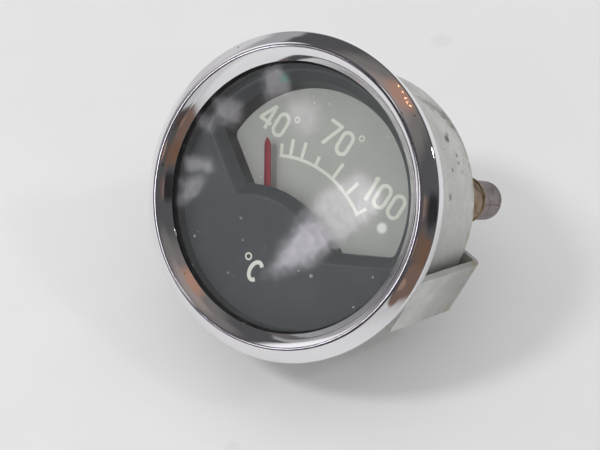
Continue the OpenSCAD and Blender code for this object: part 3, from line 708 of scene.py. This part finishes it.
def cut_square(depth, keep_behind):
    """Cuts the active mesh at a depth in mm, closes the cut and keeps one side."""
    on_all(bpy.ops.mesh.bisect, plane_co=(0, depth * MM, 0), plane_no=(0, 1, 0), use_fill=True,
           clear_inner=keep_behind, clear_outer=not keep_behind, threshold=SAME_POINT)


def open_edges(piece):
    """How many edges don't have two faces; a closed piece has none."""
    used = {}
    for face in piece.data.polygons:
        for key in face.edge_keys:
            used[key] = used.get(key, 0) + 1
    return sum(count != 2 for count in used.values())


def modify(kind, **settings):
    """Gives the active piece a modifier with these settings and applies it."""
    bpy.ops.object.modifier_add(type=kind)
    modifier = bpy.context.object.modifiers[-1]
    for key, value in settings.items():
        setattr(modifier, key, value)
    bpy.ops.object.modifier_apply(modifier=modifier.name)


def threaded(name, radius, start, end, pitch, chamfer):
    """A right-handed thread on the gauge's axis between two depths, in mm. The tooth's outline
    starts two turns early, so that the first full turn is ready where the rod is cut."""
    root, first = radius - TOOTH_HEIGHT * pitch, start - 2 * pitch
    turns = math.ceil((end - start) / pitch)
    rod = chain_piece(name, [(root, first), (radius, first + CREST_START * pitch),
                             (radius, first + CREST_END * pitch), (root, first + pitch)])
    modify("SCREW", axis="Y", screw_offset=pitch * MM, iterations=turns + SPARE_TURNS,
           steps=THREAD_STEPS, render_steps=THREAD_STEPS)
    on_all(bpy.ops.mesh.remove_doubles, threshold=2 * SAME_POINT)
    cut_square(start, True)
    cut_square(end, False)
    on_all(bpy.ops.mesh.normals_make_consistent, inside=False)
    spare = 0.3
    blank = spun(name + "_blank", [(0, start - 1), (radius + spare, start - 1),
                                   (radius + spare, end - chamfer - spare),
                                   (radius - chamfer - spare, end + spare), (0, end + spare)],
                 TURNED_STEPS)
    only(rod)
    modify("BOOLEAN", operation="INTERSECT", object=blank)
    bpy.data.objects.remove(blank)
    bpy.ops.object.shade_smooth_by_angle(angle=math.radians(30))
    print(name, "turns:", turns, "open edges:", open_edges(rod))
    return rod


def joined(pieces, name):
    only(pieces[0])
    for piece in pieces[1:]:
        piece.select_set(True)
    if len(pieces) > 1:
        bpy.ops.object.join()
    pieces[0].name = name
    return pieces[0]


# %% [markdown]
# The bracket's stud has a spigot riveted into the iron yoke and a shoulder inside the can. The
# terminals have a hexagonal head inside, a groove behind the nut and the same thread further
# out. One terminal is made and copied to its other side.

# %% Studs
rod = threaded("bracket_stud_thread", STUD_R, 25.6, 41.8, 0.8, 0.6)
shank = spun("shank", [(0, 19.0), (1.8, 19.0), (1.8, 20.2), (3.75, 20.2), (3.75, 24.2), (2.5, 24.2),
                       (2.5, 25.7), (0, 25.7)], TURNED_STEPS)
stud = joined([rod, shank], "bracket_stud_thread")
finish_piece(stud, "cut nickel", "gauge")
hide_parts("bracket_stud")

rod = threaded("terminal_thread", TERMINAL_R, 29.7, 37.8, 0.7, 0.5)
shank = spun("shank", [(0, 22.0), (2.0, 22.0), (2.0, 28.95), (1.7, 29.15), (1.7, 29.75),
                       (0, 29.75)], TURNED_STEPS)
bpy.ops.mesh.primitive_cylinder_add(vertices=6, radius=3.2 * MM, depth=1.5 * MM,
                                    location=(0, 21.95 * MM, 0), rotation=(math.pi / 2, 0, 0))
head = bpy.context.object
bpy.ops.object.transform_apply()
on_all(bpy.ops.mesh.bevel, offset=0.2 * MM, segments=2)
left = joined([rod, shank, head], "terminal_threads")
left.location = (-TERMINAL_X * MM, 0, TERMINAL_Z * MM)
only(left)
bpy.ops.object.transform_apply()
bpy.ops.object.duplicate()
right = bpy.context.object
right.location = (2 * TERMINAL_X * MM, 0, 0)
bpy.ops.object.transform_apply()
terminals = joined([left, right], "terminal_threads")
finish_piece(terminals, "cut brass", "gauge")
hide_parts("terminal_studs")

# %% [markdown]
# ## The printing
#
# The scale and its figures are screen printed: flat shapes with even strokes. Each is drawn here
# as a closed outline in a flat curve, which fills itself and leaves holes where one outline lies
# inside another, as in a typeface. The curve is given the thickness of an ink film, made a mesh,
# stood up in the plane of the dial and set on the paint.

# %% Outlines of the figures
FIGURE_H, NOUGHT_W, STROKE = 5.05, 2.95, 0.72


def arc(x, y, rx, ry, start, sweep, n):
    """Points along part of an ellipse, from one angle on (degrees, anticlockwise from +X)."""
    angles = [math.radians(start + sweep * i / n) for i in range(n + 1)]
    return [(x + rx * math.cos(a), y + ry * math.sin(a)) for a in angles]


def circle(x, y, r):
    return arc(x, y, r, r, 0, 360, 40)[:-1]


def stadium(x, y, inset=0.0):
    """A figure nought's outline: two straight sides and two half circles."""
    middle, r = NOUGHT_W / 2, NOUGHT_W / 2 - inset
    return (arc(x + middle, y + FIGURE_H - middle, r, r, 0, 180, 14)
            + arc(x + middle, y + middle, r, r, 180, 180, 14))


def degree(x, y, r=0.6, stroke=0.24):
    return [circle(x, y, r), circle(x, y, r - stroke)]


def band(x, y, r0, r1, a, b, n=48):
    """Part of a ring between two angles from straight up, in degrees."""
    return arc(x, y, r1, r1, 90 - a, a - b, n) + arc(x, y, r0, r0, 90 - b, b - a, n)


STRAIGHT = {
    "4": [[(1.75, 5.05), (2.5, 5.05), (2.5, 1.75), (3.0, 1.75), (3.0, 1.08), (2.5, 1.08),
           (2.5, 0.0), (1.78, 0.0), (1.78, 1.08), (0.0, 1.08), (0.0, 1.7)],
          [(0.8, 1.75), (1.78, 1.75), (1.78, 3.62)]],
    "7": [[(0.0, 5.05), (3.0, 5.05), (3.0, 4.5), (1.22, 0.0), (0.46, 0.0), (2.18, 4.36),
           (0.0, 4.36)]],
    "1": [[(0.32, 5.05), (0.95, 5.05), (0.95, 0.0), (0.23, 0.0), (0.23, 4.25), (0.0, 4.2),
           (0.0, 4.72)]]}


def figure(sign, x, y):
    """The outlines of a figure whose lower left corner is at x, y, or of a degree sign round it."""
    if sign == "o":
        return degree(x, y)
    if sign == "0":
        return [stadium(x, y), stadium(x, y, STROKE)]
    return [[(x + a, y + b) for a, b in outline] for outline in STRAIGHT[sign]]


# %% [markdown]
# The scale is an arc round the pointer's spindle, with seven ticks of uneven length standing out
# from it. The tick's own thickness stays even, so each is a plain bar turned to its angle.

# %% Scale and ticks
SPINDLE_Z = -14.3
ARC_R, ARC_W = 19.9, 0.62
TICKS = ((-29.1, 2.3), (-23.4, 3.4), (-16.5, 3.4), (-7.2, 2.0), (5.2, 3.6), (16.8, 3.3),
         (29.1, 2.2))


def tick(angle, length, width=0.68):
    t = math.radians(angle)
    along, across = Vector((math.sin(t), math.cos(t))), Vector((math.cos(t), -math.sin(t)))
    foot = Vector((0, SPINDLE_Z)) + along * ARC_R
    ends = ((-ARC_W / 2, -1), (length, -1), (length, 1), (-ARC_W / 2, 1))
    return [tuple(foot + along * a + across * (side * width / 2)) for a, side in ends]


scale_shapes = [band(0, SPINDLE_Z, ARC_R - ARC_W / 2, ARC_R + ARC_W / 2, -30, 30)]
tick_shapes = [tick(angle, length) for angle, length in TICKS]
figures = []
for sign, x, y in (("4", -17.85, 5.3), ("0", -14.5, 5.3), ("o", -10.6, 10.5),
                   ("7", -4.6, 9.8), ("0", -1.25, 9.8), ("o", 2.65, 15.0),
                   ("1", 9.0, 6.1), ("0", 10.65, 6.1), ("0", 14.0, 6.1)):
    figures += figure(sign, x, y)
print("figure outlines:", len(figures), "ticks:", len(tick_shapes))

# %% Print on the dial
STACKED = 0.0015


def printed(name, groups, face, material):
    """Flat shapes in the dial's plane, an ink film thick, on the face at that depth (mm). Each
    further group lies a hair in front of the one before it."""
    pieces = []
    for k, shapes in enumerate(groups):
        curve = bpy.data.curves.new(name, "CURVE")
        curve.dimensions = "2D"
        curve.fill_mode = "BOTH"
        curve.extrude = INK * MM / 2
        for shape in shapes:
            spline = curve.splines.new("POLY")
            spline.points.add(len(shape) - 1)
            for point, (u, v) in zip(spline.points, shape):
                point.co = (u * MM, v * MM, 0, 1)
            spline.use_cyclic_u = True
        added(name, curve)
        bpy.ops.object.convert(target="MESH")
        piece = bpy.context.object
        piece.rotation_euler = (math.pi / 2, 0, 0)
        piece.location = (0, (face - INK / 2 - STACKED * k) * MM, 0)
        bpy.ops.object.transform_apply()
        pieces.append(piece)
    finish_piece(joined(pieces, name), material, "gauge")


printed("scale_print", [scale_shapes, tick_shapes], PLATE_FACE, "cream ink")
printed("figures_print", [figures], PLATE_FACE, "cream ink")
printed("dot_print", [[circle(DOT_X, DOT_Z, DOT_R)]], PLATE_FACE, "white ink")


def letter_c(x, y, w=3.1, h=4.4, stroke=0.78, n=30):
    """An open letter C: one outline that runs round the outside and back round the inside."""
    return [arc(x + w / 2, y + h / 2, w / 2, h / 2, 48, 264, n)
            + arc(x + w / 2, y + h / 2, w / 2 - stroke, h / 2 - stroke, 312, -264, n)]


unit = degree(-2.0, -14.6, 0.75, 0.3) + letter_c(-0.8, -18.2)
printed("unit_print", [unit], MASK_FACE, "cream ink")

# %% [markdown]
# ## The table
#
# The gauge lies face up on a white table, leaning on a terminal and the can's rear edge. In the
# gauge's own frame that table is a sloping plane, as far down as the gauge reaches. It has a few
# specks of dust and painted shade towards its near right, where less light falls. It can't be seen
# from behind, so that other views look through it, and it fades out well away from the gauge.

# %% Table
TABLE_TILT = math.radians(45)
table_up = (CAMERA_UP * math.cos(TABLE_TILT) - CAMERA_LOOK * math.sin(TABLE_TILT)).normalized()
table_right = (CAMERA_RIGHT - table_up * CAMERA_RIGHT.dot(table_up)).normalized()
table_away = table_up.cross(table_right)


def lowest_point():
    """How far the gauge reaches below its origin, measured square to the table."""
    reach = 0.0
    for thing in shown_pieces():
        if thing.type == "MESH":
            for vertex in thing.data.vertices:
                reach = max(reach, -table_up.dot(thing.matrix_world @ vertex.co))
    return reach


table_drop = lowest_point()
print("table lies", round(table_drop / MM, 2), "mm below the origin")

bpy.ops.mesh.primitive_plane_add(size=4, location=-table_up * table_drop,
                                 rotation=turn_to(table_right, table_away, table_up))
table = bpy.context.object
table.name = "table"

tree, shader = new_material("white table", (0.78, 0.78, 0.785), 0.55)
point = place(tree)
dust = use(tree, specks, Point=point, Size=0.012, Amount=0.08)
soft = use(tree, mottle, Point=point, Size=0.05, Low=0.3, High=0.7)
colour = blend(tree, soft, (0.785, 0.785, 0.79), (0.81, 0.81, 0.812))
to_right, to_back, _ = axes(tree, point)
# painted shade: the table darkens towards its near right, where less light falls
near_right_shade = spread(tree, minus(tree, to_right, to_back), 0.03, 0.24)
colour = blend(tree, near_right_shade, colour, (0.6, 0.6, 0.6))
feed(tree, shader, Base_Color=blend(tree, times(tree, dust, 0.15), colour, (0.5, 0.5, 0.5)))
fade = spread(tree, vectors(tree, "LENGTH", point), 0.15, 0.3)
back = put(tree, "ShaderNodeNewGeometry").outputs["Backfacing"]
clear = put(tree, "ShaderNodeBsdfTransparent")
show(tree, mixed_shaders(tree, larger(tree, fade, back), shader.outputs[0], clear.outputs[0]))
table.data.materials.append(bpy.data.materials["white table"])

# %% [markdown]
# ## Lamps
#
# Most of the light is even and comes from all round, as in a white tent. A small lamp at the left
# throws the soft shadow on the right of the gauge. Its place comes from that shadow: its edge,
# joined to the edge of the bezel that throws it, points back at the lamp. A smaller one at the
# right throws a faint second shadow and makes the bright glint in the chrome. Five weak warm
# bulbs nearly overhead show there as a row of dots.

# %% Lamps
def aim(azimuth, height):
    """A direction from its azimuth (0 beyond the table, 90 to the right) and its height."""
    a, h = math.radians(azimuth), math.radians(height)
    return (table_right * (math.sin(a) * math.cos(h)) + table_up * math.sin(h)
            + table_away * (math.cos(a) * math.cos(h)))


def lamp(name, azimuth, height, distance, size, power, tint=(1, 1, 1), mirrored=True):
    """A round lamp that faces the gauge; the chrome shows it if it is mirrored."""
    at = aim(azimuth, height) * distance
    bpy.ops.object.light_add(type="AREA", location=at)
    light = bpy.context.object
    light.name = name
    light.data.shape = "DISK"
    light.data.size = size
    light.data.energy = power
    light.data.color = tint
    light.visible_glossy = mirrored
    light.rotation_euler = at.to_track_quat("Z", "Y").to_euler()


lamp("left lamp", -120, 52, 0.8, 0.13, 1.75, mirrored=False)
lamp("right lamp", 109, 48, 1.0, 0.085, 0.6)
BULBS = ((48, 68), (57, 68.3), (67, 69), (73, 69), (78, 67.6))
WARM = (1, 0.5, 0.25)
for number, (azimuth, height) in enumerate(BULBS):
    lamp("bulb %d" % (number + 1), azimuth, height, 1.4, 0.011, 0.004, WARM)
print("lamps:", 2 + len(BULBS))

# %% [markdown]
# ## What the chrome sees
#
# The surroundings matter more to the chrome than the lamps do. It shows a dim room: a greyer
# ceiling with a warm patch by the bulbs, a bright window and a pale wall on the left, and the left
# lamp's own glow. Below the horizon lies the pale ground, and over both stand the dark and warm
# things round the camera. Each is a soft-edged round patch, given by the direction of its middle
# and the angles at which it starts and ends. Matt surfaces are lit by the even white tent instead,
# and the camera itself sees plain white.

# %% Surroundings
world = bpy.data.worlds.new("studio")
bpy.context.scene.world = world
world.use_nodes = True
tree = world.node_tree
tree.nodes.clear()
toward = put(tree, "ShaderNodeTexCoord").outputs["Generated"]


def facing(direction):
    """The cosine between a ray and a direction."""
    return vectors(tree, "DOT_PRODUCT", toward, direction)


ROOM, GROUND = (0.09, 0.089, 0.093), (0.62, 0.62, 0.63)
TENT, BACKDROP = (0.99, 0.99, 1.0, 1), (0.76, 0.76, 0.76, 1)
FRONT_FILL, BACK_FILL = 0.77, 0.79
# azimuth, height, half-angle of the even middle and of the outer edge, colour
ROOM_PATCHES = ((0, 90, 24, 37, (0.19, 0.18, 0.175)),
                (0, 90, 5, 21, (0.33, 0.28, 0.265)),
                (60, 73, 2, 13, (0.42, 0.25, 0.19)),
                (-45, -50, 82, 86, (0.38, 0.38, 0.39)),
                (-30, 4, 8, 17, (0.66, 0.66, 0.67)),
                (-69, 33, 11, 19, (1.05, 1.05, 1.08)),
                (-120, 14, 24, 34, (0.055, 0.048, 0.062)),
                (-165, 0, 11, 13, (0.56, 0.56, 0.57)),
                (-120, 52, 2.5, 5, (1.6, 1.6, 1.65)))
THINGS = ((162, -1, 12, 14, (0.18, 0.12, 0.097)),
          (160, 21, 3, 12, (0.15, 0.1, 0.08)),
          (151, 13, 2, 10, (0.17, 0.1, 0.065)),
          (153, 37, 3, 7, (0.22, 0.16, 0.14)),
          (141, 31, 4, 11, (0.028, 0.026, 0.028)),
          (171, 24, 3, 7, (0.13, 0.08, 0.06)),
          (-178, 11, 4, 8, (0.085, 0.06, 0.055)),
          (-174, 28, 3, 6, (0.42, 0.27, 0.22)),
          (167, 40, 3, 8, (0.13, 0.095, 0.088)),
          (168, 3, 2, 4, (0.3, 0.2, 0.155)),
          (-64, -6, 8, 17, (0.2, 0.19, 0.21)))


def patched(colour, patches):
    """Lays soft-edged round patches over a colour of the surroundings."""
    for azimuth, high, inner, outer, tint in patches:
        near = spread(tree, facing(aim(azimuth, high)), math.cos(math.radians(outer)),
                      math.cos(math.radians(inner)))
        colour = blend(tree, near, colour, tint)
    return colour


def background(colour, strength):
    return put(tree, "ShaderNodeBackground", [(0, colour), (1, strength)]).outputs[0]


colour = patched(ROOM, ROOM_PATCHES)
ground = spread(tree, facing(table_up), -0.03, 0.0, 1.0, 0.0)
colour = patched(blend(tree, ground, colour, GROUND), THINGS)

ray = put(tree, "ShaderNodeLightPath").outputs
tent = background(TENT, spread(tree, facing(aim(65, 32)), -0.5, 0.6, FRONT_FILL, BACK_FILL))
lit = mixed_shaders(tree, ray["Is Glossy Ray"], tent, background(colour, 1.0))
seen = larger(tree, ray["Is Camera Ray"], ray["Is Transmission Ray"])
everything = mixed_shaders(tree, seen, lit, background(BACKDROP, 1.0))
tree.links.new(everything, put(tree, "ShaderNodeOutputWorld").inputs[0])
print("patches in the surroundings:", len(ROOM_PATCHES) + len(THINGS))

# %% [markdown]
# ## The reflection in the glass
#
# The flat glass shows a few pale, out-of-focus shapes: a long wedge under the hundred and some
# soft blotches on the left, one of them with a green edge. The camera sees them on a card that
# stands in front of the gauge, parallel to the glass. The card is larger than its picture in the
# glass by a known amount, so each shape is drawn where it is wanted on the glass and then scaled.
# Only glossy rays see the card.

# %% Reflected card
CARD_AWAY, GLASS_FACE, CARD_SIZE = 300.0, -3.1, 0.2
WANDER = (3.0, 3.0, 0.0)
camera_mm = camera.location / MM
card_scale = 1 + CARD_AWAY / (GLASS_FACE - camera_mm.y)
card_centre = Vector(((1 - card_scale) * camera_mm.x, GLASS_FACE - CARD_AWAY,
                      (1 - card_scale) * camera_mm.z)) * MM
bpy.ops.mesh.primitive_plane_add(size=CARD_SIZE, location=card_centre, rotation=(math.pi / 2, 0, 0))
card = bpy.context.object
card.name = "glass_card"
for kind in ("camera", "diffuse", "transmission", "volume_scatter", "shadow"):
    setattr(card, "visible_" + kind, False)

tree, shader = new_material("card light", (0, 0, 0), 1.0)
spot = stretched(tree, place(tree), (1 / (MM * card_scale),) * 3)
wisp = vectors(tree, "SUBTRACT", noise(tree, spot, 0.35, 4.0, "Color"), (0.5, 0.5, 0.5))
spot = vectors(tree, "ADD", vectors(tree, "MULTIPLY", wisp, WANDER), spot)
card_u, card_v, _ = axes(tree, spot)


def left_of(a, b, soft):
    """1 on the left of the line from a to b, fading over soft millimetres."""
    (au, av), (bu, bv) = a, b
    run = math.hypot(bu - au, bv - av)
    nu, nv = -(bv - av) / run, (bu - au) / run
    side = plus(tree, times(tree, card_u, nu), times(tree, card_v, nv))
    return spread(tree, minus(tree, side, au * nu + av * nv), -soft / 2, soft / 2)


def shape(corners, soft):
    """A convex shape with soft edges; its corners go anticlockwise."""
    mask = 1.0
    for a, b in zip(corners, corners[1:] + corners[:1]):
        mask = times(tree, mask, left_of(a, b, soft))
    return mask


# corners and softness in mm on the glass, and how bright each shape is
CARD_SHAPES = (
    ([(5.4, -13.0), (9.6, -8.6), (13.4, -1.4), (16.2, 5.0), (16.5, 9.6), (13.0, 12.4), (8.8, 11.2),
      (5.5, 5.5), (4.4, -3.0)], 4.2, 5.4),
    ([(5.2, -13.2), (7.6, -11.2), (12.6, -3.4), (12.8, 0.2), (8.0, 2.2), (5.6, 0.2), (4.6, -4.0)],
     4.4, 9.0),
    ([(12.2, 4.6), (15.6, 4.8), (16.4, 9.4), (13.2, 12.0), (10.6, 9.6)], 3.6, 7.4),
    ([(-17.0, 15.4), (-13.5, 12.5), (-10.3, 15.5), (-12.5, 18.5), (-15.4, 18.0)], 2.6, 4.2),
    ([(-9.6, 14.4), (-7.9, 11.7), (-3.4, 11.4), (-1.6, 14.6), (-4.4, 17.5)], 3.6, 3.2),
    ([(-22.9, 6.6), (-19.8, 2.7), (-16.0, 5.6), (-17.6, 9.0)], 2.6, 3.8),
    ([(-24.1, 1.5), (-21.3, 0.2), (-19.9, 1.2), (-21.0, 4.0)], 2.0, 2.4),
    ([(-22.0, -6.0), (-20.4, -8.4), (-15.5, -4.4), (-17.4, -2.7)], 2.0, 3.8),
    ([(-20.5, -10.0), (-18.1, -13.8), (-15.6, -10.2), (-16.4, -6.3)], 2.4, 3.6))
GREEN_SHAPE = ([(-13.6, 17.4), (-12.2, 16.6), (-11.2, 18.0), (-12.6, 19.0)], 1.6)
GREEN_BRIGHT = 1.6

glow = 0.0
for corners, soft, bright in CARD_SHAPES:
    glow = larger(tree, glow, times(tree, shape(corners, soft), bright))
streaks = noise(tree, spot, 0.9, 3.0)
glow = times(tree, glow, spread(tree, streaks, 0.3, 0.65, 0.75, 1.1))
green = shape(*GREEN_SHAPE)
glow = plus(tree, glow, times(tree, green, GREEN_BRIGHT))
tint = blend(tree, green, (0.97, 0.92, 1.0), (0.3, 0.9, 0.75))
light = put(tree, "ShaderNodeEmission", [(0, tint), (1, glow)])
clear = put(tree, "ShaderNodeBsdfTransparent")
both = put(tree, "ShaderNodeAddShader", [(0, light.outputs[0]), (1, clear.outputs[0])])
show(tree, both.outputs[0])
card.data.materials.append(bpy.data.materials["card light"])
print("shapes on the card:", len(CARD_SHAPES) + 1)

# %% [markdown]
# ## The end
#
# The plain view transform shows every colour as it was given.

# %% The end
bpy.context.scene.view_settings.view_transform = "Standard"
